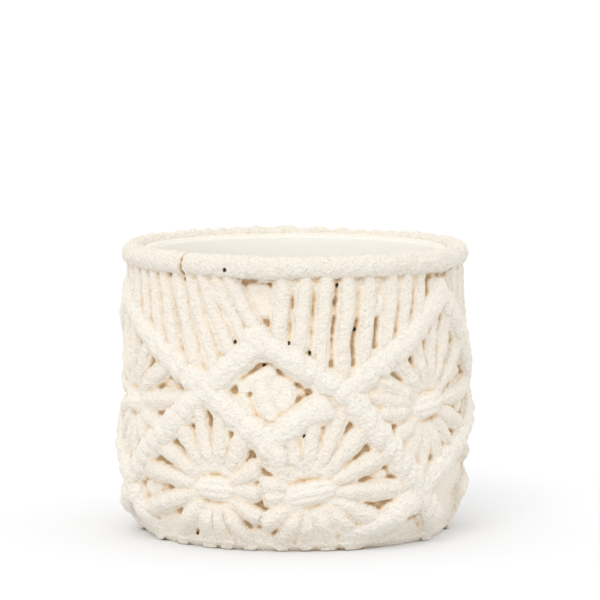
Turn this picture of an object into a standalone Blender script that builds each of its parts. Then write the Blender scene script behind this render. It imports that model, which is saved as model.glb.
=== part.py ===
"""Free-standing plant pot with a macrame cover, stiffened and bonded to its wall.

The pot is a plain turned shell.  Round it lie a thick rim cord, a fringe of near-vertical cords,
a lattice of knotted half-hitch bands, and eight stars of cords gathered under a wrap.
Places on the wall are given as (angle, height): degrees from the front, positive to the right,
and millimetres above the foot.  All other lengths are metres, and +Z is up.
"""

import math
import random

import bmesh
import bpy
from mathutils import Matrix, Vector

MM = 0.001

# Driving dimensions of the pot shell
LIP_TOP = 0.1105
LIP_RADIUS = 0.0588
MOUTH_RADIUS = 0.0550
FLOOR_THICKNESS = 0.008
SHELL_STEPS = 48
# The outer wall as (height, radius) in millimetres
WALL = (
    (0.0, 55.8), (3.0, 57.6), (8.0, 59.6), (14.0, 60.9), (28.0, 61.6),
    (52.0, 61.6), (76.0, 60.4), (112.0, 58.3),
)

# Driving dimensions of the cords, as radii
GAP = 0.0004
RIM_CORD = 0.0040
RIM_RING = 0.0633
RIM_HEIGHT = 0.1080
FRINGE_CORD = 0.0027
HEADER_CORD = 0.0019
BAND_PEAK = 0.0041
BAND_VALLEY = 0.0035
KNOT_PITCH = 0.0074
SPOKE_CORD = 0.0026
SPOKE_AT_HUB = 0.0013
WRAP_CORD = 0.0015
LOOP_CORD = 0.0014
FOLD_CORD = 0.0018

# Bands that run down to the right and pass over the others
OVER_BANDS = {
    "band_over_1": ((-85.5, 96.5), (-57, 79.5), (-30.4, 61.5), (-18, 51), (-4.2, 37.0)),
    "band_over_2": ((-14.5, 83.5), (3, 71), (16.3, 60.4), (32, 41), (46, 22), (59, 4.2)),
    "band_over_3": ((56.5, 98.8), (72, 84), (90, 65), (103, 53.5), (116, 44), (131.5, 35)),
    "band_over_4": ((125.5, 83.5), (152, 60), (174, 41), (196, 22), (209, 4.2)),
    "band_over_5": ((192.5, 97.0), (218, 78), (240, 60), (265, 40), (289, 22), (301, 4.2)),
}
# Bands that run up to the right and stop at each band that passes over them
UNDER_BANDS = {
    "band_under_1a": ((-88, 4.2), (-71, 22)),
    "band_under_1b": ((-71, 22), (-51, 42), (-30.4, 61.5)),
    "band_under_1c": ((-30.4, 61.5), (-11, 80.5)),
    "band_under_2a": ((-8.0, 42.0), (0, 49.5), (7, 56)),
    "band_under_2b": ((16.3, 60.4), (38, 77), (60, 96)),
    "band_under_3a": ((21, 4.2), (33, 12), (46, 22)),
    "band_under_3b": ((46, 22), (62, 33), (84, 44), (103, 53.5)),
    "band_under_3c": ((103, 53.5), (116, 68), (129, 80.5)),
    "band_under_4a": ((129, 38), (152, 60)),
    "band_under_4b": ((152, 60), (174, 77), (196, 94)),
    "band_under_5a": ((178, 4.2), (196, 22)),
    "band_under_5b": ((196, 22), (218, 42), (240, 60)),
    "band_under_5c": ((240, 60), (259, 76), (278, 91)),
}
# The zigzag of bands that the fringe hangs down to
FRINGE_EDGE = (
    (-82, 94), (-57, 79.5), (-30.4, 61.5), (-13, 82.5), (16.3, 60.4), (38, 77), (60, 96),
    (72, 84), (90, 65), (103, 53.5), (127, 82.5), (152, 60), (174, 77), (196, 94),
    (218, 78), (240, 60), (259, 76), (278, 91),
)
# Fringe cords as (angle at the rim, angle at the band); the front's plain gap is right of the second group
FRINGE_FRONT = {
    "fringe_01": ((-77, -74), (-70, -66.5), (-63.5, -59), (-57.3, -51.8), (-51, -43.5)),
    "fringe_02": ((-44, -33.5), (-38.8, -26.6), (-33.8, -20.8), (-28.8, -15.8), (-23.8, -11)),
    "fringe_03": ((-4.0, -4.9), (3.8, 1.2), (11.0, 8.0)),
    "fringe_04": ((18.5, 15.4), (26.0, 23.6), (34.5, 32.0), (41.5, 39.5), (48.5, 47.0)),
}
# The other bays as (first angle, last angle, cords, lean)
FRINGE_BACK = {
    "fringe_05": (71, 100, 5, -1.5),
    "fringe_06": (108, 122, 3, 1.0),
    "fringe_07": (134, 148, 3, -1.0),
    "fringe_08": (155, 184, 5, 1.5),
    "fringe_09": (207, 235, 5, 1.5),
    "fringe_10": (244, 268, 4, -1.5),
}
# Stars as (angle, height) and the directions of their spokes, clockwise from straight up
STARS = {
    "star_front_left": (-27.4, 24.0, (-58, -32, -12, 8, 30, 62, 92, 122, 150, 175, 197, 224, 252, 278)),
    "star_front_middle": (5.5, 23.6, (-80, -48, -22, 0, 19, 40, 64, 90, 113, 136, 160, 184, 208, 234, 262)),
    "star_right": (51.0, 53.4, (-66, -38, -14, 6, 24, 50, 84, 112, 140, 166, 192, 212, 236, 265, 280)),
    "star_left": (-70.0, 53.3, (0, 28, 56, 84, 112, 140, 168, 196, 226, 256, 286, 314, 338)),
    "star_back": (196.0, 53.0, (4, 32, 62, 92, 120, 150, 180, 210, 240, 270, 302, 334)),
    "star_back_right_low": (111.0, 24.0, (-6, 22, 50, 78, 108, 138, 168, 198, 228, 258, 286, 314)),
    "star_back_right_far": (147.0, 24.0, (2, 30, 58, 88, 118, 148, 178, 208, 238, 268, 300, 332)),
    "star_back_left_low": (241.0, 24.0, (0, 28, 56, 84, 114, 144, 174, 204, 234, 264, 294, 328)),
}
INTO_BAND = 0.002
SPOKE_REACH = 0.034
HUB_RADIUS = 0.0062
HUB_DEPTH = 0.0031
SPOKE_START = 0.0045
SPOKE_SWELL = 0.0125
SPOKE_BENT_OVER = 0.0200
SPOKE_LEAST = 0.014
SPOKE_LOWEST = 0.0038
NEXT_STAR = 0.045
SAME_ROW = 0.010
WRAP_HALF_SIZE = (0.0060, 0.0024)
WRAP_TILT = 8
LOOP_POINTS = 12
# Small loops inside the lattice as (angle, height), half width and half height, and tilt in degrees
LOOPS = {
    "loop_in_diamond": ((-3.9, 60.5), (0.0021, 0.0052), 3),
    "loop_at_foot": ((39.5, 7.0), (0.0036, 0.0026), 17),
}
FOLD_ROUTE = ((-18.0, 63.5), (-14.5, 65.3), (-10.5, 66.8), (-7.0, 68.4))
BEAD_PLACE = (29.75, 0.0942)
BEAD_STANDOFF = 0.0034
BEAD_HALF_SIZE = (0.0011, 0.0020, 0.0040)
PATH_STEP = 0.001
UNROLLED_RADIUS = 0.062


def clear_scene():
    for old in list(bpy.data.objects):
        bpy.data.objects.remove(old, do_unlink=True)


def new_collection(name):
    made = bpy.data.collections.new(name)
    bpy.context.scene.collection.children.link(made)
    return made


def plaster(name, colour, roughness):
    made = bpy.data.materials.new(name)
    made.use_nodes = True
    shader = made.node_tree.nodes["Principled BSDF"]
    shader.inputs["Base Color"].default_value = (*colour, 1.0)
    shader.inputs["Roughness"].default_value = roughness
    shader.inputs["Metallic"].default_value = 0.0
    return made


def wall_radius(height):
    """Outer radius of the pot shell at this height, both in metres."""
    for (z0, r0), (z1, r1) in zip(WALL, WALL[1:]):
        if height <= z1 * MM:
            share = (height / MM - z0) / (z1 - z0)
            return (r0 + max(share, 0.0) * (r1 - r0)) * MM
    return WALL[-1][1] * MM


def on_wall(angle, height, standoff):
    """The point at this angle in degrees and height in metres, this far outside the wall."""
    turn = math.radians(angle)
    radius = wall_radius(height) + standoff
    return Vector((radius * math.sin(turn), -radius * math.cos(turn), height))


def between(a, b, c, d, t):
    """A smooth value from b, at t = 0, to c, at t = 1, with a before them and d after."""
    bend = (2 * a - 5 * b + 4 * c - d) * t ** 2 + (3 * b - a - 3 * c + d) * t ** 3
    return b + ((c - a) * t + bend) / 2


def smooth_route(corners, step):
    """(angle, height in metres) along a smooth curve through the corners, about a step apart."""
    ends = [tuple(2 * a - b for a, b in zip(corners[0], corners[1])), *corners]
    ends.append(tuple(2 * a - b for a, b in zip(corners[-1], corners[-2])))
    fine = []
    for p0, p1, p2, p3 in zip(ends, ends[1:], ends[2:], ends[3:]):
        for i in range(40):
            t = i / 40
            fine.append(tuple(between(*four, t) for four in zip(p0, p1, p2, p3)))
    fine.append(tuple(corners[-1]))
    run = [0.0]
    for (a0, z0), (a1, z1) in zip(fine, fine[1:]):
        run.append(run[-1] + math.hypot(math.radians(a1 - a0) * UNROLLED_RADIUS, (z1 - z0) * MM))
    pieces = max(2, round(run[-1] / step))
    route = []
    at = 0
    for i in range(pieces + 1):
        wanted = run[-1] * i / pieces
        while at < len(run) - 2 and run[at + 1] < wanted:
            at += 1
        share = (wanted - run[at]) / (run[at + 1] - run[at])
        a, z = (p + share * (q - p) for p, q in zip(fine[at], fine[at + 1]))
        route.append((a, z * MM))
    return route


def tube(name, points, radii, sides=6, closed=False):
    """A mesh object swept along the points, with a radius at each and flat caps unless it is closed."""
    curve = bpy.data.curves.new(name, "CURVE")
    curve.dimensions = "3D"
    curve.bevel_depth = 1.0
    curve.bevel_resolution = (sides - 4) // 2
    curve.use_fill_caps = not closed
    spline = curve.splines.new("POLY")
    spline.points.add(len(points) - 1)
    for point, place, radius in zip(spline.points, points, radii):
        point.co = (*place, 1.0)
        point.radius = radius
    spline.use_cyclic_u = closed
    guide = bpy.data.objects.new(name + "_route", curve)
    bpy.context.scene.collection.objects.link(guide)
    bpy.context.view_layer.update()
    evaluated = guide.evaluated_get(bpy.context.evaluated_depsgraph_get())
    mesh = bpy.data.meshes.new_from_object(evaluated)
    bpy.data.objects.remove(guide, do_unlink=True)
    bpy.data.curves.remove(curve)
    weld(mesh)
    return mesh


def weld(mesh):
    shape = bmesh.new()
    shape.from_mesh(mesh)
    bmesh.ops.remove_doubles(shape, verts=shape.verts, dist=1e-6)
    bmesh.ops.recalc_face_normals(shape, faces=shape.faces)
    shape.to_mesh(mesh)
    shape.free()


def joined(meshes):
    """One mesh that holds all the given ones."""
    shape = bmesh.new()
    for mesh in meshes:
        shape.from_mesh(mesh)
        bpy.data.meshes.remove(mesh)
    whole = bpy.data.meshes.new("joined")
    shape.to_mesh(whole)
    shape.free()
    return whole


def place(name, mesh, material, collection):
    mesh.name = name
    mesh.materials.clear()
    mesh.materials.append(material)
    mesh.shade_smooth()
    mesh.set_sharp_from_angle(angle=math.radians(50))
    made = bpy.data.objects.new(name, mesh)
    collection.objects.link(made)
    return made


def trim(obj, cutters):
    """Cuts the object back from each band; the first cut also unites the shapes joined in it."""
    for cutter in cutters:
        cut = obj.modifiers.new("clear_" + cutter.name, "BOOLEAN")
        cut.operation = "DIFFERENCE"
        cut.solver = "EXACT"
        cut.object = cutter
        cut.use_self = cutter == cutters[0]


def pot_shell(material, collection):
    """The plain inner pot: a profile from the middle of the floor inside to the middle of the foot."""
    floor = [(0, FLOOR_THICKNESS), (0.046, FLOOR_THICKNESS)]
    inside = [(0.051, 0.0098), (0.0530, 0.0145), (0.0540, 0.050)]
    lip = [(MOUTH_RADIUS, LIP_TOP - 0.002), (MOUTH_RADIUS + 0.001, LIP_TOP), (LIP_RADIUS - 0.001, LIP_TOP)]
    flare = [(LIP_RADIUS, LIP_TOP - 0.001), (LIP_RADIUS, 0.1065), (wall_radius(0.104), 0.104)]
    outside = [(radius * MM, height * MM) for height, radius in reversed(WALL[:-1])]
    profile = bpy.data.meshes.new("pot_profile")
    shape = bmesh.new()
    corners = [shape.verts.new((r, 0, z)) for r, z in floor + inside + lip + flare + outside + [(0, 0)]]
    for start, end in zip(corners, corners[1:]):
        shape.edges.new((start, end))
    shape.to_mesh(profile)
    shape.free()
    made = bpy.data.objects.new("pot_shell", profile)
    collection.objects.link(made)
    profile.materials.append(material)
    turn = made.modifiers.new("turn", "SCREW")
    turn.steps = SHELL_STEPS
    turn.render_steps = SHELL_STEPS
    turn.use_merge_vertices = True
    turn.merge_threshold = 1e-5
    turn.use_smooth_shade = True


def rim_cord(material, collection):
    bpy.ops.mesh.primitive_torus_add(
        major_radius=RIM_RING, minor_radius=RIM_CORD, major_segments=SHELL_STEPS, minor_segments=8
    )
    made = bpy.context.object
    made.location.z = RIM_HEIGHT
    made.name = "rim_cord"
    made.data.materials.append(material)
    made.data.shade_smooth()
    for home in list(made.users_collection):
        home.objects.unlink(made)
    collection.objects.link(made)


def extended(points, by):
    """The points with both ends moved outwards."""
    first = points[0] + (points[0] - points[1]).normalized() * by
    last = points[-1] + (points[-1] - points[-2]).normalized() * by
    return [first, *points[1:-1], last]


def band(name, corners, material, collection, cutter_collection):
    """A knotted band, a row of half hitches, and the slightly larger cutter that clears its neighbours."""
    route = smooth_route(corners, KNOT_PITCH / 2)
    points = [on_wall(angle, height, GAP + BAND_PEAK) for angle, height in route]
    radii = [BAND_VALLEY if i % 2 == 0 else BAND_PEAK for i in range(len(points))]
    made = place(name, tube(name, points, radii, sides=8), material, collection)
    room = tube(name, extended(points, GAP), [BAND_PEAK + GAP] * len(points), sides=8)
    cutter = place(name + "_room", room, material, cutter_collection)
    cutter.hide_render = True
    cutter.display_type = "WIRE"
    return made, cutter


def edge_height(angle):
    """Height in millimetres of the zigzag that the fringe hangs down to."""
    for (a0, z0), (a1, z1) in zip(FRINGE_EDGE, FRINGE_EDGE[1:]):
        if a0 <= angle <= a1:
            return z0 + (z1 - z0) * (angle - a0) / (a1 - a0)
    return FRINGE_EDGE[0][1]


def fringe_bay(name, cords, material, collection):
    """Near-vertical cords that hang from one header cord under the rim down to the zigzag."""
    top = RIM_HEIGHT - RIM_CORD - 4 * GAP
    meshes = []
    for start, end in cords:
        low = edge_height(end) * MM + INTO_BAND
        points = [on_wall(*place, GAP + FRINGE_CORD) for place in ((start, top), (end, low))]
        meshes.append(tube(name, points, [FRINGE_CORD] * 2))
    header = top - HEADER_CORD - GAP
    first, last = cords[0][0], cords[-1][0]
    pieces = max(3, round((last - first) / 5))
    angles = [first + (last - first) * i / pieces for i in range(pieces + 1)]
    points = [on_wall(angle, header, 2 * GAP + HEADER_CORD) for angle in angles]
    meshes.append(tube(name, points, [HEADER_CORD] * len(points)))
    return place(name, joined(meshes), material, collection)


def unrolled(angle, height):
    """Place on the flattened wall, in metres."""
    return Vector((math.radians(angle) * UNROLLED_RADIUS, height))


def off_line(point, start, end):
    """Distance from the point to the straight piece between two others."""
    along = end - start
    share = max(0.0, min(1.0, (point - start).dot(along) / along.length_squared))
    return (point - start - along * share).length


def band_lines():
    """Each band's middle line on the flattened wall, and once more a full turn either side of it."""
    lines = []
    for corners in (*OVER_BANDS.values(), *UNDER_BANDS.values()):
        for turn in (-360, 0, 360):
            route = smooth_route([(a + turn, z) for a, z in corners], 4 * PATH_STEP)
            lines.append([unrolled(a, z) for a, z in route])
    return lines


def spoke_length(centre, direction, lines, others):
    """How far a spoke runs before a band's middle line, the foot, or half-way to the next star."""
    length = 0.004
    while length < SPOKE_REACH:
        point = centre + direction * length
        if point.y < SPOKE_LOWEST:
            break
        if any(off_line(point, a, b) < 1.2 * PATH_STEP for line in lines for a, b in zip(line, line[1:])):
            break
        for other in others:
            apart = (other - centre).length
            share = (point - centre).dot(other - centre) / apart
            if apart / 2 - share < SPOKE_CORD + GAP:
                return length
        length += PATH_STEP
    return length


def spoke_radius(distance):
    """A spoke is pulled thin at the hub, and swells beyond the wrap."""
    share = min(1.0, (distance - SPOKE_START) / (SPOKE_SWELL - SPOKE_START))
    return SPOKE_AT_HUB + (SPOKE_CORD - SPOKE_AT_HUB) * share


def hub(name, angle, height):
    """The flattened bunch in the middle of a star: a low disc whose axis points out of the wall."""
    shape = bmesh.new()
    bmesh.ops.create_cone(
        shape, cap_ends=True, segments=12, radius1=HUB_RADIUS, radius2=HUB_RADIUS * 0.85, depth=HUB_DEPTH
    )
    outwards = Matrix.Rotation(math.radians(angle), 4, "Z") @ Matrix.Rotation(math.radians(90), 4, "X")
    middle = Matrix.Translation(on_wall(angle, height, GAP + HUB_DEPTH / 2))
    bmesh.ops.transform(shape, matrix=middle @ outwards, verts=shape.verts)
    mesh = bpy.data.meshes.new(name)
    shape.to_mesh(mesh)
    shape.free()
    return mesh


def star(name, angle, height, directions, lines, material, collection):
    """Cords that radiate along the wall from one hub."""
    centre = unrolled(angle, height * MM)
    others = [
        unrolled(a + turn, z * MM)
        for other, (a, z, _) in STARS.items()
        for turn in (-360, 0, 360)
        if other != name or turn
    ]
    others = [
        spot for spot in others if (spot - centre).length < NEXT_STAR and abs(spot.y - centre.y) < SAME_ROW
    ]
    meshes = [hub(name, angle, height * MM)]
    for bearing in directions:
        way = Vector((math.sin(math.radians(bearing)), math.cos(math.radians(bearing))))
        length = spoke_length(centre, way, lines, others)
        if length < SPOKE_LEAST:
            continue
        stops = [SPOKE_START, SPOKE_SWELL, length]
        if length > SPOKE_BENT_OVER:
            stops.insert(2, (SPOKE_SWELL + length) / 2)
        places = [centre + way * stop for stop in stops]
        radii = [spoke_radius(stop) for stop in stops]
        angles = [math.degrees(spot.x / UNROLLED_RADIUS) for spot in places]
        points = [on_wall(a, spot.y, GAP + radius) for a, spot, radius in zip(angles, places, radii)]
        meshes.append(tube(name, points, radii))
    return place(name, joined(meshes), material, collection)


def oval_loop(name, middle, half_size, standoff, radius, tilt):
    """The mesh of a closed oval loop of cord that lies along the wall."""
    angle, height = middle
    lean = math.radians(tilt)
    points = []
    for i in range(LOOP_POINTS):
        turn = math.tau * i / LOOP_POINTS
        across = half_size[0] * math.cos(turn)
        up = half_size[1] * math.sin(turn)
        s = across * math.cos(lean) - up * math.sin(lean)
        z = across * math.sin(lean) + up * math.cos(lean)
        points.append(on_wall(angle + math.degrees(s / UNROLLED_RADIUS), height * MM + z, standoff))
    return tube(name, points, [radius] * LOOP_POINTS, closed=True)


def star_wraps(material, collection):
    """The cord wound round the middle of each star, drawn as one closed oval loop."""
    tilts = random.Random(5)
    standoff = 3 * GAP + HUB_DEPTH + WRAP_CORD
    for star_name, (angle, height, _) in STARS.items():
        name = star_name.replace("star", "wrap")
        tilt = tilts.uniform(-WRAP_TILT, WRAP_TILT)
        mesh = oval_loop(name, (angle, height), WRAP_HALF_SIZE, standoff, WRAP_CORD, tilt)
        place(name, mesh, material, collection)


def small_loops(material, collection):
    for name, (middle, half_size, tilt) in LOOPS.items():
        mesh = oval_loop(name, middle, half_size, GAP + LOOP_CORD, LOOP_CORD, tilt)
        place(name, mesh, material, collection)


def fold_in_diamond(material, collection):
    """The folded cord that lies across the small diamond of the front."""
    route = smooth_route(FOLD_ROUTE, FOLD_CORD)
    points = [on_wall(angle, height, GAP + FOLD_CORD) for angle, height in route]
    mesh = tube("fold_in_diamond", points, [FOLD_CORD] * len(points))
    place("fold_in_diamond", mesh, material, collection)


def bead_in_fringe(material, collection):
    """The long bead between two fringe cords right of the middle."""
    shape = bmesh.new()
    bmesh.ops.create_uvsphere(shape, u_segments=8, v_segments=6, radius=1.0)
    angle, height = BEAD_PLACE
    size = Matrix.Diagonal((*BEAD_HALF_SIZE, 1.0))
    turn = Matrix.Rotation(math.radians(angle), 4, "Z")
    middle = Matrix.Translation(on_wall(angle, height, BEAD_STANDOFF))
    bmesh.ops.transform(shape, matrix=middle @ turn @ size, verts=shape.verts)
    mesh = bpy.data.meshes.new("bead_in_fringe")
    shape.to_mesh(mesh)
    shape.free()
    place("bead_in_fringe", mesh, material, collection)


def near(cutter, obj, reach=0.002):
    """Whether the boxes round two objects come this close."""
    boxes = [[Vector(corner) for corner in thing.bound_box] for thing in (cutter, obj)]
    for axis in range(3):
        spans = [(min(c[axis] for c in box), max(c[axis] for c in box)) for box in boxes]
        if spans[0][0] - reach > spans[1][1] or spans[1][0] - reach > spans[0][1]:
            return False
    return True


def main():
    clear_scene()
    pot = new_collection("macrame_planter")
    rooms = new_collection("band_cutters")
    shell_plaster = plaster("pot_plaster", (0.86, 0.80, 0.69), 0.9)
    rim_plaster = plaster("rim_plaster", (0.90, 0.86, 0.77), 0.92)
    fringe_plaster = plaster("fringe_plaster", (0.89, 0.84, 0.74), 0.92)
    band_plaster = plaster("band_plaster", (0.91, 0.87, 0.79), 0.92)
    star_plaster = plaster("star_plaster", (0.89, 0.84, 0.74), 0.92)
    wrap_plaster = plaster("wrap_plaster", (0.91, 0.87, 0.79), 0.92)

    pot_shell(shell_plaster, pot)
    rim_cord(rim_plaster, pot)
    over = [band(name, route, band_plaster, pot, rooms)[1] for name, route in OVER_BANDS.items()]
    under = []
    for name, route in UNDER_BANDS.items():
        made, room = band(name, route, band_plaster, pot, rooms)
        trim(made, [cutter for cutter in over if near(cutter, made)])
        under.append(room)
    bays = dict(FRINGE_FRONT)
    for name, (first, last, count, lean) in FRINGE_BACK.items():
        tops = [first + (last - first) * i / (count - 1) for i in range(count)]
        bays[name] = [(top, top + lean) for top in tops]
    for name, cords in bays.items():
        made = fringe_bay(name, cords, fringe_plaster, pot)
        trim(made, [cutter for cutter in over + under if near(cutter, made)])
    lines = band_lines()
    for name, (angle, height, directions) in STARS.items():
        made = star(name, angle, height, directions, lines, star_plaster, pot)
        trim(made, [cutter for cutter in over + under if near(cutter, made)])
    star_wraps(wrap_plaster, pot)
    small_loops(wrap_plaster, pot)
    fold_in_diamond(wrap_plaster, pot)
    bead_in_fringe(wrap_plaster, pot)


main()
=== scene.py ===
"""The plaster-coated macrame pot: fine surfaces over the CAD nodes, plaster, light and camera."""

import math

import bmesh
import bpy
import numpy as np
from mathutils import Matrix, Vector


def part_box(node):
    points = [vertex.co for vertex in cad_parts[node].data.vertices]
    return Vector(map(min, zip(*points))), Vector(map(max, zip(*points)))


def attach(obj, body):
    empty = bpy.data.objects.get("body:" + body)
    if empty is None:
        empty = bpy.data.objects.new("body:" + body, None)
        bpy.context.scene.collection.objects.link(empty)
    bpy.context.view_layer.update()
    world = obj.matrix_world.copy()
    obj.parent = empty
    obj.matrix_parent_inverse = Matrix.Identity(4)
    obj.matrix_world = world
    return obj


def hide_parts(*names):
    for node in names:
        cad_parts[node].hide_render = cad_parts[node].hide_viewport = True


MM = 0.001

# How finely the cords are made, and how far their coat of plaster stands off the CAD solids
CORD_VOXEL = 0.45 * MM
FRINGE_COAT = 0.95 * MM
STAR_COAT = 0.95 * MM
SMALL_COAT = 0.70 * MM
SMALL_COATS = {"loop_in_diamond": 1.5 * MM, "fold_in_diamond": 1.1 * MM}
BAND_COAT = 0.70 * MM
WRAP_TURN = 1.45 * MM

# How far the coated cords reach into what they hang from or run up to
CORD_TOP = 104 * MM
CORD_INTO_RIM = 3.0 * MM
CORD_STRETCH = 1.05
STAR_STRETCH = 1.09
HUB_SUNK = 0.60
BAND_REACH = 3.0 * MM
BAND_REACHES = {"band_under_2a": 6.5 * MM}
FREE_ENDED = ("band_under_2a",)
BAND_WIDENING = 1.24
BAND_PRESSED = 0.90
BAND_END = 5.0 * MM
MET_END = 0.8 * MM
BAND_TAPER = 9 * MM
END_HEIGHT = 0.45
HUB_RADIUS = 4 * MM

# The half hitches of the bands
HITCH_PITCH = 5.4 * MM
HITCH_SLANT = 0.45
HITCH_DEPTH = 0.70 * MM

# Lumps and crumbs of each kind of plaster
BAND_ROUGHNESS = (0.34 * MM, 0.20 * MM)
CORD_ROUGHNESS = (0.28 * MM, 0.18 * MM)
WRAP_ROUGHNESS = (0.16 * MM, 0.12 * MM)
RIM_ROUGHNESS = (0.30 * MM, 0.32 * MM)
CORD_UNEVENNESS = 0.30 * MM

# The grid round the wall on which the relief is measured
MAP_COLUMNS = 980
MAP_ROWS = 290
MAP_HEIGHT = 116 * MM
MAP_RADIUS = 62 * MM

SHELL_COLUMNS = 520
SHELL_ROW = 0.75 * MM
RIM_COLUMNS = 880
RIM_SIDES = 46

# The shell's mouth and inside, which the cords don't reach
LIP_HEIGHT = 1.5 * MM
LIP_STEPS = 6
LIP_FILL = 0.8 * MM
LIP_FROM = 0.105
LIP_TO = 0.108
INSIDE_ROWS = 22
INSIDE_TAPER = 2.4 * MM
INSIDE_FILLET = 6 * MM
INSIDE_WAVES = 0.25 * MM
FLOOR_STEP = 8 * MM
FLOOR_RINGS = 5
FOOT_CHAMFER = 3 * MM
CAD_MOUTH_FROM = 0.106
OUTSIDE_FROM = 0.0572

# Plaster colours, linear: where it is high, and where it is sunk
IVORY = (0.845, 0.785, 0.690)
BAND_IVORY = (0.860, 0.805, 0.720)
RIM_IVORY = (0.820, 0.770, 0.685)
# The inside's lining is lighter than the outside plaster: painted light, standing in for light
# reaching inside the pot
LINING = (0.875, 0.845, 0.785)
# The tan colours the sunk places: painted shade in the crevices, with a tan tint
TAN = (0.78, 0.610, 0.420)
DEEP_TAN = (0.70, 0.62, 0.52)  # what is left of the tan in the deepest crevices, painted darker there as painted shade
# The next colour paints dark lines of shade along the bottoms of the deepest grooves
GROOVE_LINE_SHADE = (0.30, 0.180, 0.090)
# The next colour paints near black shade into the small holes
HOLE_SHADE = (0.030, 0.022, 0.016)
GRAIN_HEIGHT = 0.75 * MM
FLOOR_WHITE = (0.806, 0.812, 0.824)

WORLD_STRENGTH = 1.13
KEY_STRENGTH = 0.72
KEY_DIRECTION = (0.24, 0.75, -0.80)

# Cords are pressed flat towards the foot and bend a little off their straight runs
FOOT_FLATTENING = 0.38
FOOT_FLATTENED = 13 * MM
BENDS = ((15 * MM, 0.75 * MM), (7 * MM, 0.30 * MM))
STILL_ABOVE = 104 * MM
STILL_OVER = 8 * MM
LEAST_HEIGHT = 0.25 * MM

# The skin of plaster between the cords: it fills to a share of the relief around it, and is cut
# by a groove beside each cord
SKIN_CLIMB = 0.42
SKIN_SPAN = 2.6 * MM
SKIN_FILL = 0.37
SKIN_FILL_SPAN = 6.0 * MM
SKIN_LEAST = 0.5 * MM
SKIN_GROOVE = 1.9 * MM
SKIN_FOOT = 0.7 * MM
SKIN_FOOT_HEIGHT = 1.5 * MM
SKIN_TOP = 106 * MM
VALLEY_SPAN = 1.5 * MM
VALLEY_DEPTH = 1.8 * MM
VALLEY_SIDES = 3.2 * MM
VALLEY_FLOOR_SPAN = 0.45 * MM

# Further strands inside the small diamond: places as (degrees, height, distance off the wall)
# and a radius, in mm
STRANDS = {
    "fold_in_diamond": (
        (((-11.5, 64.5, 2.6), (-10.6, 60.0, 2.8), (-9.4, 55.5, 2.6), (-7.8, 51.0, 2.0)), 2.5),
        (((-19.5, 58.5, 1.2), (-15.5, 56.0, 1.6), (-12.5, 52.0, 1.4)), 2.2),
    ),
}

# Wraps: half width in mm, most tilt in degrees, and the coat over the turns
WRAP_HALF_WIDTH = 8.2
WRAP_TILT = 9
WRAP_COAT = 0.25 * MM
WRAP_STEPS = 15
# Half width in mm and tilt in degrees of the wraps that differ from the rest
WRAP_SHAPES = {
    "wrap_front_middle": (13.5, 12),
    "wrap_front_left": (9.5, -2),
    "wrap_right": (10.5, 4),
}

# Small holes between the cords, painted near black as painted shade, as (degrees from the front,
# height in mm)
PITS = (
    (4.0, 74.5), (-22.0, 76.5), (25.0, 85.5), (25.5, 83.5), (-38.0, 103.5), (-26.0, 59.0),
    (-3.5, 78.5), (-5.5, 39.5), (-18.5, 81.5), (19.5, 84.0), (13.0, 103.0), (3.0, 46.5),
    (-11.5, 71.5), (-35.5, 4.5), (88.0, 72.0), (120.0, 71.0), (140.0, 30.0), (171.0, 74.0),
    (205.0, 60.0), (231.0, 66.0), (262.0, 74.0),
)
RIM_PIT = (-23.0, 107.2)
PIT_REACH = 2.7 * MM
PIT_SNAP = 2.3 * MM
PIT_CREVICE = 0.35

# The rim cord: its joint in degrees from the front, and the groove there
RIM_JOINT = -40
JOINT_DEPTH = 1.5 * MM
JOINT_HALF_WIDTH = 0.55
RIM_FULLNESS = 1.03
RIM_WAVE = 0.8

# Where the painted crevice shade lies: what counts as the rim, as indoors, and how far below its
# surroundings
RIM_FROM = 104.5 * MM
CREVICE_SHADE_TOP = 107 * MM
INDOORS = -0.5 * MM
SHADE_SPAN = 2.0 * MM
SUNK_DEPTH = 2.6 * MM

# Camera: lens in mm, place, and the point it is aimed at
LENS = 273
CAMERA_PLACE = (0.002, -1.76, 0.272)
CAMERA_TARGET = (0.002, 0, 0.0895)
KEY_ANGLE = 30
FLOOR_SIZE = 24


def noise(points, size, seed):
    """Smooth random values between -1 and 1 whose lumps are about this size."""
    placed = points / size + 91.7 * seed
    cell = np.floor(placed).astype(np.int64)
    t = placed - cell
    t = t * t * (3 - 2 * t)
    total = np.zeros(len(points))
    for corner in range(8):
        step = np.array([corner & 1, corner >> 1 & 1, corner >> 2 & 1])
        c = cell + step
        mixed = (c[:, 0] * 73856093) ^ (c[:, 1] * 19349663) ^ (c[:, 2] * 83492791)
        mixed = mixed ^ (seed * 2971215073)
        mixed = (mixed ^ (mixed >> 13)) * 1274126177 & 0xFFFFFFFF
        mixed = (mixed ^ (mixed >> 16)) * 2246822519 & 0xFFFFFFFF
        total += np.prod(np.where(step, t, 1 - t), axis=1) * (mixed / 2.0**31 - 1)
    return total


def coordinates(mesh):
    flat = np.empty(len(mesh.vertices) * 3, np.float32)
    mesh.vertices.foreach_get("co", flat)
    return flat.reshape(-1, 3).astype(np.float64)


def normals(mesh):
    flat = np.empty(len(mesh.vertices) * 3, np.float32)
    mesh.vertex_normals.foreach_get("vector", flat)
    return flat.reshape(-1, 3).astype(np.float64)


def store(mesh, points):
    mesh.vertices.foreach_set("co", points.astype(np.float32).ravel())
    mesh.update()


def store_value(mesh, name, values):
    field = mesh.attributes.new(name, "FLOAT", "POINT")
    field.data.foreach_set("value", values.astype(np.float32))


def turned(points):
    """(angle from the front in radians, radius) of each point."""
    return np.arctan2(points[:, 0], -points[:, 1]), np.hypot(points[:, 0], points[:, 1])


def half_turn(angle):
    """The same angle between minus and plus half a turn."""
    return (angle + math.pi) % math.tau - math.pi


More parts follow.
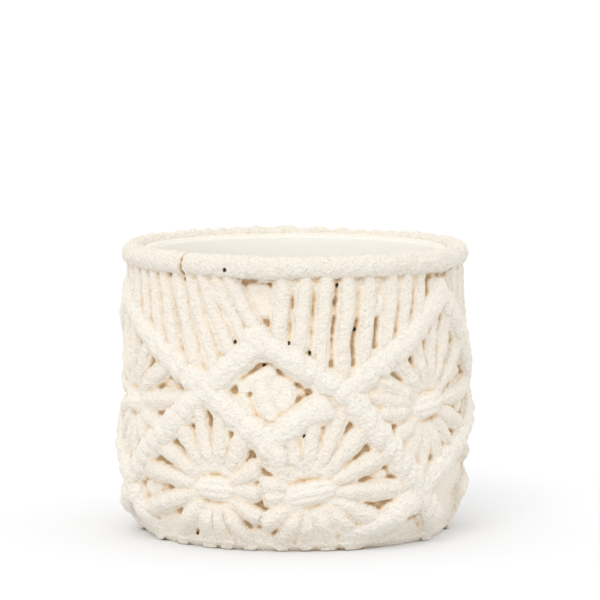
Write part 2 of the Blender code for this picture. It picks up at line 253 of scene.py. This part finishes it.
def outer_wall(node):
    """(heights, radii) of the CAD shell's outer wall, from the foot up."""
    points = coordinates(node.data)
    radii = np.hypot(points[:, 0], points[:, 1])
    heights = np.round(points[:, 2], 5)
    rows = np.unique(heights[radii > OUTSIDE_FROM])
    return rows, np.array([radii[heights == row].max() for row in rows])


def wall_at(heights):
    return np.interp(heights, *WALL)


def blurred(values, size):
    """The map smoothed over this distance. It wraps round the pot and is mirrored at both edges."""
    tall = np.concatenate([values[:, ::-1], values, values[:, ::-1]], axis=1)
    across = np.fft.fftfreq(tall.shape[0], math.tau * MAP_RADIUS / MAP_COLUMNS)
    up = np.fft.rfftfreq(tall.shape[1], MAP_HEIGHT / MAP_ROWS)
    kept = np.exp(-2 * (math.pi * size) ** 2 * (across[:, None] ** 2 + up[None, :] ** 2))
    smooth = np.fft.irfft2(np.fft.rfft2(tall) * kept, s=tall.shape)
    return smooth[:, MAP_ROWS : 2 * MAP_ROWS]


def valleys(relief):
    """From 0 to 1, how far each place of the map lies in a narrow dip beside or between cords."""
    nearby = blurred(relief, VALLEY_SPAN)
    beside_cords = np.clip(nearby / VALLEY_SIDES, 0, 1) ** 2
    below = nearby - blurred(relief, VALLEY_FLOOR_SPAN)
    return np.clip(below / VALLEY_DEPTH, 0, 1) * beside_cords


def map_place(points):
    """Where each point falls on the map, in columns and rows."""
    angle, _ = turned(points)
    column = (angle / math.tau % 1.0) * MAP_COLUMNS
    row = np.clip(points[:, 2] / MAP_HEIGHT * MAP_ROWS, 0, MAP_ROWS - 1.001)
    return column, row


def relief_of(pieces):
    """How far the outermost cord stands off the wall at each place of the map."""
    relief = np.zeros((MAP_COLUMNS, MAP_ROWS))
    for piece in pieces:
        points = coordinates(piece.data)
        column, row = map_place(points)
        _, radius = turned(points)
        place = column.astype(int) % MAP_COLUMNS, row.astype(int)
        np.maximum.at(relief, place, radius - wall_at(points[:, 2]))
    wide = np.maximum(relief, np.maximum(np.roll(relief, -1, axis=0), np.roll(relief, 1, axis=0)))
    tall = wide.copy()
    tall[:, 1:] = np.maximum(tall[:, 1:], wide[:, :-1])
    tall[:, :-1] = np.maximum(tall[:, :-1], wide[:, 1:])
    return tall


def sampled(values, points):
    """The map's value at each point, blended between its four cells."""
    column, row = map_place(points)
    c, r = column.astype(int), row.astype(int)
    u, v = column - c, row - r
    c0, c1 = c % MAP_COLUMNS, (c + 1) % MAP_COLUMNS
    low = values[c0, r] * (1 - u) + values[c1, r] * u
    high = values[c0, r + 1] * (1 - u) + values[c1, r + 1] * u
    return low * (1 - v) + high * v


def wall_place(degrees, height, off):
    """The point at this angle in degrees, and this height and distance off the wall in mm."""
    turn = math.radians(degrees)
    radius = wall_at(height * MM) + off * MM
    return radius * math.sin(turn), -radius * math.cos(turn), height * MM


def refined(name, mesh, smoothing):
    """An object with the mesh's surface made fine and softened. Shapes that overlap become one."""
    made = bpy.data.objects.new(name, mesh)
    bpy.context.scene.collection.objects.link(made)
    fine = made.modifiers.new("fine", "REMESH")
    fine.mode = "VOXEL"
    fine.voxel_size = CORD_VOXEL
    soft = made.modifiers.new("soft", "SMOOTH")
    soft.factor = 0.5
    soft.iterations = smoothing
    bpy.context.view_layer.update()
    evaluated = made.evaluated_get(bpy.context.evaluated_depsgraph_get())
    finished = bpy.data.meshes.new_from_object(evaluated)
    made.modifiers.clear()
    made.data = finished
    bpy.data.meshes.remove(mesh)
    return made


def remeshed(name, smoothing, strands=()):
    """A fine, softened copy of a CAD node, joined with any extra strands."""
    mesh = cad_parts[name].data.copy()
    shape = bmesh.new()
    shape.from_mesh(mesh)
    for route, radius in strands:
        extra = strand([wall_place(*place) for place in route], [radius * MM] * len(route))
        shape.from_mesh(extra)
        bpy.data.meshes.remove(extra)
    bmesh.ops.remove_doubles(shape, verts=shape.verts, dist=1e-5)
    shape.to_mesh(mesh)
    shape.free()
    mesh.materials.clear()
    return refined(name + "_coated", mesh, smoothing)


def ramp(values):
    """Smooth steps from 0 to 1."""
    t = np.clip(values, 0, 1)
    return t * t * (3 - 2 * t)


def ring_places(angle, height, radius):
    """Points from their angle from the front, height and radius."""
    return np.stack([radius * np.sin(angle), -radius * np.cos(angle), height], axis=1)


def along_band(points):
    """(distance along, distance across, slope) on a band, about a smooth curve fitted to it."""
    angle, _ = turned(points)
    s = half_turn(angle - angle[0]) * MAP_RADIUS
    fit = np.polyfit(s, points[:, 2], 3)
    slope = np.polyval(np.polyder(fit), s)
    order = np.linspace(s.min(), s.max(), 400)
    steps = np.hypot(np.diff(order), np.diff(np.polyval(fit, order)))
    run = np.concatenate([[0], np.cumsum(steps)])
    across = (points[:, 2] - np.polyval(fit, s)) / np.sqrt(1 + slope**2)
    return np.interp(s, order, run) + across * slope / np.sqrt(1 + slope**2), across, slope


def broadened(points, reach, end):
    """A band made wider and flatter, and longer by this reach at both ends, which are rounded."""
    along, across, slope = along_band(points)
    lean = np.sqrt(1 + slope**2)
    middle = (along.min() + along.max()) / 2
    half = (along.max() - along.min()) / 2
    past_taper = np.abs(along - middle) - half + BAND_TAPER
    beyond = reach * ramp(past_taper / BAND_TAPER) * np.sign(along - middle)
    to_end = half - np.abs(along - middle)
    full = np.sqrt(1 - (1 - np.clip(to_end / end, 0.03, 1)) ** 2)
    aside = across * (BAND_WIDENING * full - 1)
    angle, radius = turned(points)
    angle = angle + (beyond - slope * aside) / lean / MAP_RADIUS
    height = points[:, 2] + (beyond * slope + aside) / lean
    off = radius - wall_at(points[:, 2])
    off = off * BAND_PRESSED * (END_HEIGHT + (1 - END_HEIGHT) * full)
    return ring_places(angle, height, wall_at(height) + off), full


def hung(points):
    """Fringe cords lengthened at both ends: up into the rim and down into the bands."""
    angle, radius = turned(points)
    height = CORD_TOP - (CORD_TOP - points[:, 2]) * CORD_STRETCH
    height = height + CORD_INTO_RIM * ramp((points[:, 2] - 92 * MM) / (11 * MM))
    return ring_places(angle, height, radius)


def spread(points, low, high):
    """A star made larger, so that its cords run into the bands, with its middle pressed flat."""
    angle, radius = turned(points)
    first = math.atan2(low[0] + high[0], -low[1] - high[1])
    middle = (low[2] + high[2]) / 2
    apart = half_turn(angle - first)
    height = middle + (points[:, 2] - middle) * STAR_STRETCH
    from_middle = np.hypot(apart * MAP_RADIUS, points[:, 2] - middle)
    wall = wall_at(points[:, 2])
    out = HUB_SUNK + (1 - HUB_SUNK) * ramp((from_middle - HUB_RADIUS) / HUB_RADIUS)
    radius = wall + (radius - wall) * out
    return ring_places(first + apart * STAR_STRETCH, np.maximum(height, 0.5 * MM), radius)


def hitches(points, seed):
    """The half hitches of a band: slanting ridges, each a little unlike the next."""
    along, across, _ = along_band(points)
    phase = (along + HITCH_SLANT * across) / HITCH_PITCH + 0.7 * noise(points, 9 * MM, seed)
    ridge = np.abs(np.sin(math.pi * phase)) ** 0.8
    strength = 0.6 + 0.5 * noise(points, 12 * MM, seed + 7)
    return (ridge - 0.7) * strength * HITCH_DEPTH


def rough(points, seed, lumps, crumbs):
    """Uneven plaster: lumps of a few millimetres and crumbs under one."""
    wide = noise(points, 4.2 * MM, seed) + 0.6 * noise(points, 2.1 * MM, seed + 1)
    fine = noise(points, 1.15 * MM, seed + 2) + 0.5 * noise(points, 0.7 * MM, seed + 3)
    return lumps * wide + crumbs * fine


def settled(points):
    """The points bent off straight runs, pressed flat towards the foot, and above the floor."""
    angle, radius = turned(points)
    wall = wall_at(points[:, 2])
    sideways = sum(noise(points, size, 71 + i) * far for i, (size, far) in enumerate(BENDS))
    upwards = sum(noise(points, size, 73 + i) * far for i, (size, far) in enumerate(BENDS))
    below_rim = np.clip((STILL_ABOVE - points[:, 2]) / STILL_OVER, 0, 1)
    above_foot = np.clip(points[:, 2] / STILL_OVER, 0, 1)
    upwards *= below_rim * above_foot
    flat = FOOT_FLATTENING + (1 - FOOT_FLATTENING) * ramp(points[:, 2] / FOOT_FLATTENED)
    radius = wall + (radius - wall) * flat
    height = np.maximum(points[:, 2] + upwards, LEAST_HEIGHT)
    return ring_places(angle + sideways / MAP_RADIUS, height, radius)


def coat(made, push):
    """Moves the surface outwards by this much, then lets it settle on the wall."""
    points = coordinates(made.data)
    store(made.data, settled(points + normals(made.data) * push[:, None]))
    return made


def coat_band(name, seed):
    made = remeshed(name, 9)
    points = coordinates(made.data)
    ridges = hitches(points, seed)
    meets = "under" in name and name not in FREE_ENDED
    end = MET_END if meets else BAND_END
    points, full = broadened(points, BAND_REACHES.get(name, BAND_REACH), end)
    store(made.data, points)
    return coat(made, (BAND_COAT + ridges) * full + rough(points, seed, *BAND_ROUGHNESS))


def coat_cord(name, seed):
    kind = name.split("_")[0]
    made = remeshed(name, 4, STRANDS.get(name, ()))
    points = coordinates(made.data)
    thickness = SMALL_COATS.get(name, SMALL_COAT)
    if kind == "fringe":
        thickness = FRINGE_COAT
        points = hung(points)
    elif kind == "star":
        thickness = STAR_COAT
        points = spread(points, *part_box(name.replace("star", "wrap")))
    store(made.data, points)
    uneven = CORD_UNEVENNESS * noise(points, 9 * MM, seed + 9)
    return coat(made, thickness + uneven + rough(points, seed, *CORD_ROUGHNESS))


def strand(places, radii):
    """A mesh swept along the places with a radius at each."""
    curve = bpy.data.curves.new("strand", "CURVE")
    curve.dimensions = "3D"
    curve.bevel_depth = 1.0
    curve.bevel_resolution = 3
    curve.use_fill_caps = True
    spline = curve.splines.new("POLY")
    spline.points.add(len(places) - 1)
    for point, place, radius in zip(spline.points, places, radii):
        point.co = (*place, 1.0)
        point.radius = radius
    guide = bpy.data.objects.new("strand", curve)
    bpy.context.scene.collection.objects.link(guide)
    bpy.context.view_layer.update()
    evaluated = guide.evaluated_get(bpy.context.evaluated_depsgraph_get())
    mesh = bpy.data.meshes.new_from_object(evaluated)
    bpy.data.objects.remove(guide, do_unlink=True)
    bpy.data.curves.remove(curve)
    return mesh


def joined(meshes):
    shape = bmesh.new()
    for mesh in meshes:
        shape.from_mesh(mesh)
        bpy.data.meshes.remove(mesh)
    bmesh.ops.remove_doubles(shape, verts=shape.verts, dist=1e-6)
    whole = bpy.data.meshes.new("joined")
    shape.to_mesh(whole)
    shape.free()
    return whole


def coat_wrap(name, seed):
    """The cord wound over a star's middle: three turns side by side that dive in at both ends."""
    points = coordinates(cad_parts[name].data)
    middle = points.mean(axis=0)
    angle = math.atan2(middle[0], -middle[1])
    dice = np.random.default_rng(seed)
    reach, tilt = WRAP_SHAPES.get(name, (WRAP_HALF_WIDTH, dice.uniform(-WRAP_TILT, WRAP_TILT)))
    tilt = math.radians(tilt)
    turns = []
    for turn in (-1, 1, 0):
        half = (reach - abs(turn) * 0.8 + dice.uniform(-0.6, 0.6)) * MM
        lift = turn * WRAP_TURN * 1.5 + dice.uniform(-0.2, 0.2) * MM
        places, radii = [], []
        for step in np.linspace(-1, 1, WRAP_STEPS):
            along = half * step
            across = lift * (1 - 0.35 * step * step)
            s = along * math.cos(tilt) - across * math.sin(tilt)
            z = middle[2] + along * math.sin(tilt) + across * math.cos(tilt)
            bow = math.cos(math.pi / 2 * abs(step) ** 1.4)
            out = wall_at(z) + (1.3 + 3.9 * bow - (0.5 if turn else 0.0)) * MM
            a = angle + s / MAP_RADIUS
            places.append((out * math.sin(a), -out * math.cos(a), z))
            radii.append(WRAP_TURN * (0.80 + 0.20 * bow))
        turns.append(strand(places, radii))
    made = refined(name + "_coated", joined(turns), 2)
    points = coordinates(made.data)
    return coat(made, WRAP_COAT + rough(points, seed, *WRAP_ROUGHNESS))


def grid_object(name, points, columns, rows, closed_rows):
    """A mesh over a grid of points that wraps round the pot, given column by column."""
    mesh = bpy.data.meshes.new(name)
    shape = bmesh.new()
    verts = [shape.verts.new(p) for p in points]
    last = rows if closed_rows else rows - 1
    for c in range(columns):
        for r in range(last):
            a = verts[c * rows + r]
            b = verts[(c + 1) % columns * rows + r]
            d = verts[c * rows + (r + 1) % rows]
            e = verts[(c + 1) % columns * rows + (r + 1) % rows]
            shape.faces.new((a, b, e, d))
    if not closed_rows:
        for row in (0, rows - 1):
            ring = [verts[c * rows + row] for c in range(columns)]
            middle = shape.verts.new(sum((v.co for v in ring), Vector()) / columns)
            for a, b in zip(ring, ring[1:] + ring[:1]):
                shape.faces.new((b, a, middle) if row == 0 else (a, b, middle))
    bmesh.ops.recalc_face_normals(shape, faces=shape.faces)
    shape.to_mesh(mesh)
    shape.free()
    made = bpy.data.objects.new(name, mesh)
    bpy.context.scene.collection.objects.link(made)
    return made


def rim_plaster():
    """The rim cord, a wavy roll with a joint, and how deep in the joint each point is."""
    low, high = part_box("rim_cord")
    radius = (high[2] - low[2]) / 2
    ring = high[0] - radius
    height = low[2] + radius
    columns = np.arange(RIM_COLUMNS) * math.tau / RIM_COLUMNS
    sides = np.arange(RIM_SIDES) * math.tau / RIM_SIDES
    angle, turn = (a.ravel() for a in np.meshgrid(columns, sides, indexing="ij"))
    on_ring = np.stack([np.sin(angle), -np.cos(angle), np.zeros_like(angle)], axis=1) * ring
    wave = noise(on_ring, 26 * MM, 11) * 0.55 + noise(on_ring, 11 * MM, 12) * 0.38
    lift = noise(on_ring, 30 * MM, 13) * 0.7 + noise(on_ring, 9 * MM, 14) * 0.30
    thick = 1 + 0.07 * noise(on_ring, 13 * MM, 15)
    behind = np.clip(-np.cos(angle), 0, 1)
    lift = lift + 0.5 * behind * np.sin(angle * 46 + 3 * np.sin(angle * 5))
    lift = lift - 1.0 * np.clip(np.sin(angle), 0, 1) * behind
    away = np.degrees(half_turn(angle - math.radians(RIM_JOINT)))
    groove = np.exp(-(((away - 0.2 * np.sin(2 * turn)) / JOINT_HALF_WIDTH) ** 2))
    section = radius * thick * RIM_FULLNESS - JOINT_DEPTH * groove
    out = ring - 0.15 * MM + wave * MM * RIM_WAVE + np.cos(turn) * section
    up = height + lift * MM * RIM_WAVE + np.sin(turn) * section * RIM_FULLNESS
    points = ring_places(angle, up, out)
    made = grid_object("rim_cord_coated", points, RIM_COLUMNS, RIM_SIDES, True)
    points = coordinates(made.data)
    push = rough(points, 17, *RIM_ROUGHNESS)
    store(made.data, points + normals(made.data) * push[:, None])
    return made, groove


def shell_profile():
    """((radius, height) up the outside and down the inside, rows outside, floor height)."""
    _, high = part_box("pot_shell")
    top = high[2]
    cad = coordinates(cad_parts["pot_shell"].data)
    radii = np.hypot(cad[:, 0], cad[:, 1])
    mouth = radii[(cad[:, 2] > CAD_MOUTH_FROM) & (radii > 0.05)].min()
    floor = cad[(radii < 0.050) & (cad[:, 2] > 0.004), 2].min()
    outer = np.arange(0.0, top - LIP_HEIGHT, SHELL_ROW)
    lip = wall_at(LIP_TO) + LIP_FILL
    profile = [(wall_at(0) - FOOT_CHAMFER, 0.0)]
    for z in outer:
        share = min(max((z - LIP_FROM) / (LIP_TO - LIP_FROM), 0), 1)
        profile.append((wall_at(z) + LIP_FILL * share, z))
    middle = (lip + mouth) / 2
    half = (lip - mouth) / 2
    for i in range(1, LIP_STEPS):
        turn = math.pi * i / LIP_STEPS
        height = top - LIP_HEIGHT + LIP_HEIGHT * math.sin(turn)
        profile.append((middle + half * math.cos(turn), height))
    foot_inside = mouth - INSIDE_TAPER
    drop = floor + INSIDE_FILLET - top + 2 * MM
    for i in range(INSIDE_ROWS):
        share = i / (INSIDE_ROWS - 1)
        profile.append((mouth + (foot_inside - mouth) * share, top - 2 * MM + drop * share))
    flat = foot_inside - INSIDE_FILLET
    for i in range(1, 7):
        turn = math.pi / 2 * i / 6
        height = floor + INSIDE_FILLET - INSIDE_FILLET * math.sin(turn)
        profile.append((flat + INSIDE_FILLET * math.cos(turn), height))
    profile.extend((flat - i * FLOOR_STEP, floor) for i in range(1, FLOOR_RINGS + 1))
    return np.array(profile), len(outer), floor


def shell_plaster(relief, dips):
    """The pot: smooth inside, and outside a skin of plaster that climbs the sides of the cords."""
    profile, outer, floor = shell_profile()
    rows = len(profile)
    angle = np.repeat(np.arange(SHELL_COLUMNS) * math.tau / SHELL_COLUMNS, rows)
    row = np.tile(np.arange(rows), SHELL_COLUMNS)
    radius = np.tile(profile[:, 0], SHELL_COLUMNS)
    height = np.tile(profile[:, 1], SHELL_COLUMNS)
    skin = (row >= 1) & (row <= outer)
    points = ring_places(angle, height, radius)
    climb = SKIN_CLIMB * sampled(blurred(relief, SKIN_SPAN), points) + SKIN_LEAST
    climb += SKIN_FILL * sampled(blurred(relief, SKIN_FILL_SPAN), points)
    climb -= SKIN_GROOVE * sampled(dips, points)
    climb += noise(points, 6 * MM, 21) * 0.45 * MM + noise(points, 2.6 * MM, 22) * 0.28 * MM
    climb += noise(points, 1.3 * MM, 23) * 0.18 * MM
    climb += SKIN_FOOT * np.exp(-(((height - SKIN_FOOT_HEIGHT) / (2 * MM)) ** 2))
    fade = np.clip(height / (2.5 * MM), 0.12, 1) * np.clip((SKIN_TOP - height) / (3 * MM), 0, 1)
    radius = radius + np.where(skin, np.maximum(climb, 0) * fade, 0)
    waving = ~skin & (height > floor - 1e-5) & (radius > 0.02)
    radius = radius + np.where(waving, noise(points, 22 * MM, 24) * INSIDE_WAVES, 0)
    points = ring_places(angle, height, radius)
    made = grid_object("pot_shell_coated", points, SHELL_COLUMNS, rows, False)
    lining = np.zeros(len(made.data.polygons), np.int32)
    sides = lining[: SHELL_COLUMNS * (rows - 1)].reshape(SHELL_COLUMNS, -1)
    sides[:, outer + LIP_STEPS - 1 :] = 1
    lining[-SHELL_COLUMNS:] = 1
    made.data.polygons.foreach_set("material_index", lining)
    return made


def snapped_pits(relief):
    """The places of the dark holes as (angle, height), each moved to the lowest spot near it."""
    columns = (np.arange(MAP_COLUMNS) + 0.5) / MAP_COLUMNS * math.tau
    rows = (np.arange(MAP_ROWS) + 0.5) / MAP_ROWS * MAP_HEIGHT
    places = []
    for degrees, height in PITS:
        apart = half_turn(columns - math.radians(degrees))
        far = np.hypot(apart[:, None] * MAP_RADIUS, rows[None, :] - height * MM)
        lowest = np.argmin(np.where(far < PIT_SNAP, relief, np.inf))
        column, row = np.unravel_index(lowest, relief.shape)
        places.append((columns[column], rows[row]))
    return places


def pit_nearness(points, pits):
    """From 0, away from every dark hole, up to 1 in the middle of one."""
    angle, _ = turned(points)
    total = np.zeros(len(points))
    for at, height in pits:
        apart = half_turn(angle - at)
        far = np.hypot(apart * MAP_RADIUS, (points[:, 2] - height) * 0.75)
        total = np.maximum(total, 1 - far / PIT_REACH)
    return total


def mark_crevices(piece, dips, shade, pits, more=0.0):
    """Stores on each point how far it lies in a crevice, and how near a dark hole is."""
    points = coordinates(piece.data)
    _, radius = turned(points)
    height = radius - wall_at(points[:, 2])
    # How far a point lies below its surroundings becomes painted shade in the plaster colour
    below = np.clip((sampled(shade, points) - height) / SUNK_DEPTH, 0, 1)
    sunk = 0.95 * sampled(dips, points) + 0.45 * below
    sunk = np.where(points[:, 2] > CREVICE_SHADE_TOP, sunk * 0.15, sunk)
    indoors = height < INDOORS
    store_value(piece.data, "crevice", np.where(indoors, 0.04, sunk) + more)
    on_rim = points[:, 2] > RIM_FROM
    gate = np.where(on_rim, 1.0, np.clip(sunk / PIT_CREVICE, 0, 1))
    store_value(piece.data, "pit", np.where(indoors, 0, pit_nearness(points, pits) * gate))


def plaster(name, ivory, grain, speckle, seed):
    """Sandy plaster: ivory where it is high, tan where it is sunk, near black in the holes. The
    tan, the brown lines and the near black are painted shade.
    """
    made = bpy.data.materials.new(name)
    made.use_nodes = True
    nodes, links = made.node_tree.nodes, made.node_tree.links
    shader = nodes["Principled BSDF"]
    shader.inputs["Roughness"].default_value = 0.93
    shader.inputs["Specular IOR Level"].default_value = 0.22

    def node(kind, **settings):
        new = nodes.new(kind)
        for key, value in settings.items():
            setattr(new, key, value)
        return new

    place = node("ShaderNodeTexCoord")
    shift = node("ShaderNodeMapping")
    shift.inputs["Location"].default_value = (seed * 0.37, seed * 0.11, seed * 0.23)
    links.new(place.outputs["Object"], shift.inputs["Vector"])

    def noise_node(scale, detail, roughness=0.6):
        new = node("ShaderNodeTexNoise")
        new.inputs["Scale"].default_value = scale
        new.inputs["Detail"].default_value = detail
        new.inputs["Roughness"].default_value = roughness
        links.new(shift.outputs["Vector"], new.inputs["Vector"])
        return new

    def math_node(operation, first, second):
        new = node("ShaderNodeMath", operation=operation)
        for socket, value in zip(new.inputs, (first, second)):
            if isinstance(value, float):
                socket.default_value = value
            else:
                links.new(value, socket)
        return new.outputs["Value"]

    def above(value, start, gain):
        return math_node("MULTIPLY", math_node("SUBTRACT", value, start), gain)

    def clamped(value, least=0.0):
        return math_node("MAXIMUM", math_node("MINIMUM", value, 1.0), least)

    # The crevice value paints shade into the colour: tan in crevices and beside cords, darker in
    # the deepest; the specks added to it are random grain
    crevice = node("ShaderNodeAttribute", attribute_name="crevice").outputs["Fac"]
    pit = node("ShaderNodeAttribute", attribute_name="pit").outputs["Fac"]
    patches = noise_node(130.0, 3.0).outputs["Fac"]
    specks = noise_node(800.0, 4.0, 0.7).outputs["Fac"]
    patchy = math_node("ADD", math_node("MULTIPLY", patches, 2.35), -0.13)
    shade_and_specks = math_node("MULTIPLY", crevice, patchy)
    shade_and_specks = math_node("ADD", shade_and_specks, above(specks, 0.44, speckle))
    shades = node("ShaderNodeValToRGB")
    links.new(shade_and_specks, shades.inputs["Fac"])
    stops = shades.color_ramp.elements
    stops[0].position = 0.20
    stops[0].color = (*ivory, 1)
    stops[1].position = 1.0
    stops[1].color = (*(c * k for c, k in zip(TAN, DEEP_TAN)), 1)
    middle = stops.new(0.46)
    middle.color = (*(0.6 * a + 0.4 * b for a, b in zip(ivory, TAN)), 1)
    late = stops.new(0.70)
    late.color = (*TAN, 1)
    # Painted shade: dark brown lines where the crevice value is highest, broken up by noise
    streaks = clamped(above(noise_node(75.0, 2.0).outputs["Fac"], 0.50, 9.0))
    line = math_node("MULTIPLY", clamped(above(crevice, 0.86, 8.0)), streaks)
    line = math_node("MULTIPLY", line, clamped(above(specks, 0.47, 9.0), 0.05))
    brown = node("ShaderNodeMix", data_type="RGBA")
    brown.inputs["B"].default_value = (*GROOVE_LINE_SHADE, 1)
    links.new(shades.outputs["Color"], brown.inputs["A"])
    links.new(line, brown.inputs["Factor"])
    # Painted shade: near black in the small holes, their edges broken up by specks
    dark = node("ShaderNodeMix", data_type="RGBA")
    dark.inputs["B"].default_value = (*HOLE_SHADE, 1)
    links.new(brown.outputs["Result"], dark.inputs["A"])
    hole = math_node("ADD", pit, above(specks, 0.5, 0.35))
    links.new(clamped(above(hole, 0.68, 9.0)), dark.inputs["Factor"])
    links.new(dark.outputs["Result"], shader.inputs["Base Color"])

    sand = noise_node(1500.0, 3.0, 0.65)
    dimples = node("ShaderNodeTexVoronoi", feature="SMOOTH_F1")
    dimples.inputs["Scale"].default_value = 900.0
    links.new(shift.outputs["Vector"], dimples.inputs["Vector"])
    grains = math_node("MULTIPLY", sand.outputs["Fac"], 0.7)
    height = math_node("ADD", grains, dimples.outputs["Distance"])
    bump = node("ShaderNodeBump")
    bump.inputs["Strength"].default_value = grain
    bump.inputs["Distance"].default_value = GRAIN_HEIGHT
    links.new(height, bump.inputs["Height"])
    links.new(bump.outputs["Normal"], shader.inputs["Normal"])
    return made


def dress(piece, material, node):
    piece.data.materials.append(material)
    piece.data.shade_smooth()
    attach(piece, "root")
    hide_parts(node)


def build_pot():
    coated = {}
    for seed, name in enumerate(sorted(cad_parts)):
        if name.startswith("band"):
            coated[name] = coat_band(name, 40 + seed)
        elif name.startswith("wrap"):
            coated[name] = coat_wrap(name, 240 + seed)
        elif name not in ("pot_shell", "rim_cord"):
            coated[name] = coat_cord(name, 140 + seed)
    coated["rim_cord"], joint = rim_plaster()
    cords = relief_of(coated.values())
    dips = valleys(cords)
    coated["pot_shell"] = shell_plaster(cords, dips)
    relief = relief_of(coated.values())
    shade = blurred(relief, SHADE_SPAN)
    pits = snapped_pits(relief) + [(math.radians(RIM_PIT[0]), RIM_PIT[1] * MM)]
    looks = {
        "band": plaster("band_plaster", BAND_IVORY, 1.0, 0.60, 1),
        "fringe": plaster("fringe_plaster", IVORY, 1.0, 0.80, 2),
        "star": plaster("star_plaster", IVORY, 1.0, 0.70, 3),
        "wrap": plaster("wrap_plaster", BAND_IVORY, 0.90, 0.45, 4),
        "rim": plaster("rim_plaster", RIM_IVORY, 1.0, 1.9, 5),
        "pot": plaster("pot_plaster", IVORY, 0.80, 0.55, 6),
    }
    for name, piece in coated.items():
        # The rim's joint groove adds to its crevice value: painted shade in the joint
        mark_crevices(piece, dips, shade, pits, joint if name == "rim_cord" else 0.0)
        kind = name.split("_")[0]
        kind = kind if kind in looks else "wrap"
        dress(piece, looks[kind], name)
    # The lighter lining on the inside is painted light
    coated["pot_shell"].data.materials.append(plaster("pot_lining", LINING, 0.12, 0.1, 7))


def floor_and_light():
    bpy.ops.mesh.primitive_plane_add(size=FLOOR_SIZE)
    floor = bpy.context.object
    floor.name = "floor"
    pale = bpy.data.materials.new("floor_white")
    pale.use_nodes = True
    shader = pale.node_tree.nodes["Principled BSDF"]
    shader.inputs["Base Color"].default_value = (*FLOOR_WHITE, 1)
    shader.inputs["Roughness"].default_value = 0.95
    shader.inputs["Specular IOR Level"].default_value = 0.1
    floor.data.materials.append(pale)
    world = bpy.data.worlds.new("white")
    world.use_nodes = True
    sky = world.node_tree.nodes["Background"]
    sky.inputs["Color"].default_value = (1, 1, 1, 1)
    sky.inputs["Strength"].default_value = WORLD_STRENGTH
    bpy.context.scene.world = world
    light = bpy.data.lights.new("key", "SUN")
    light.energy = KEY_STRENGTH
    light.angle = math.radians(KEY_ANGLE)
    made = bpy.data.objects.new("key", light)
    made.rotation_euler = Vector(KEY_DIRECTION).to_track_quat("-Z", "Y").to_euler()
    bpy.context.scene.collection.objects.link(made)


def camera():
    seen = bpy.data.cameras.new("camera")
    seen.lens = LENS
    seen.sensor_width = 36
    made = bpy.data.objects.new("camera", seen)
    made.location = CAMERA_PLACE
    aim = Vector(CAMERA_TARGET) - made.location
    made.rotation_euler = aim.to_track_quat("-Z", "Y").to_euler()
    bpy.context.scene.collection.objects.link(made)
    bpy.context.scene.camera = made


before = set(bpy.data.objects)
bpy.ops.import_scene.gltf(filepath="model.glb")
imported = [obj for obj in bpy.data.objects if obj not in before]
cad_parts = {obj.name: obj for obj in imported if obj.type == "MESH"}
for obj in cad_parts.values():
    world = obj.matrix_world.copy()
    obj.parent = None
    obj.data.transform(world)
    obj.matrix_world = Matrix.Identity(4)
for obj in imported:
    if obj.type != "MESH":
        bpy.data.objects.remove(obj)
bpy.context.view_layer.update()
WALL = outer_wall(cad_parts["pot_shell"])
bpy.context.scene.view_settings.view_transform = "Standard"
build_pot()
floor_and_light()
camera()
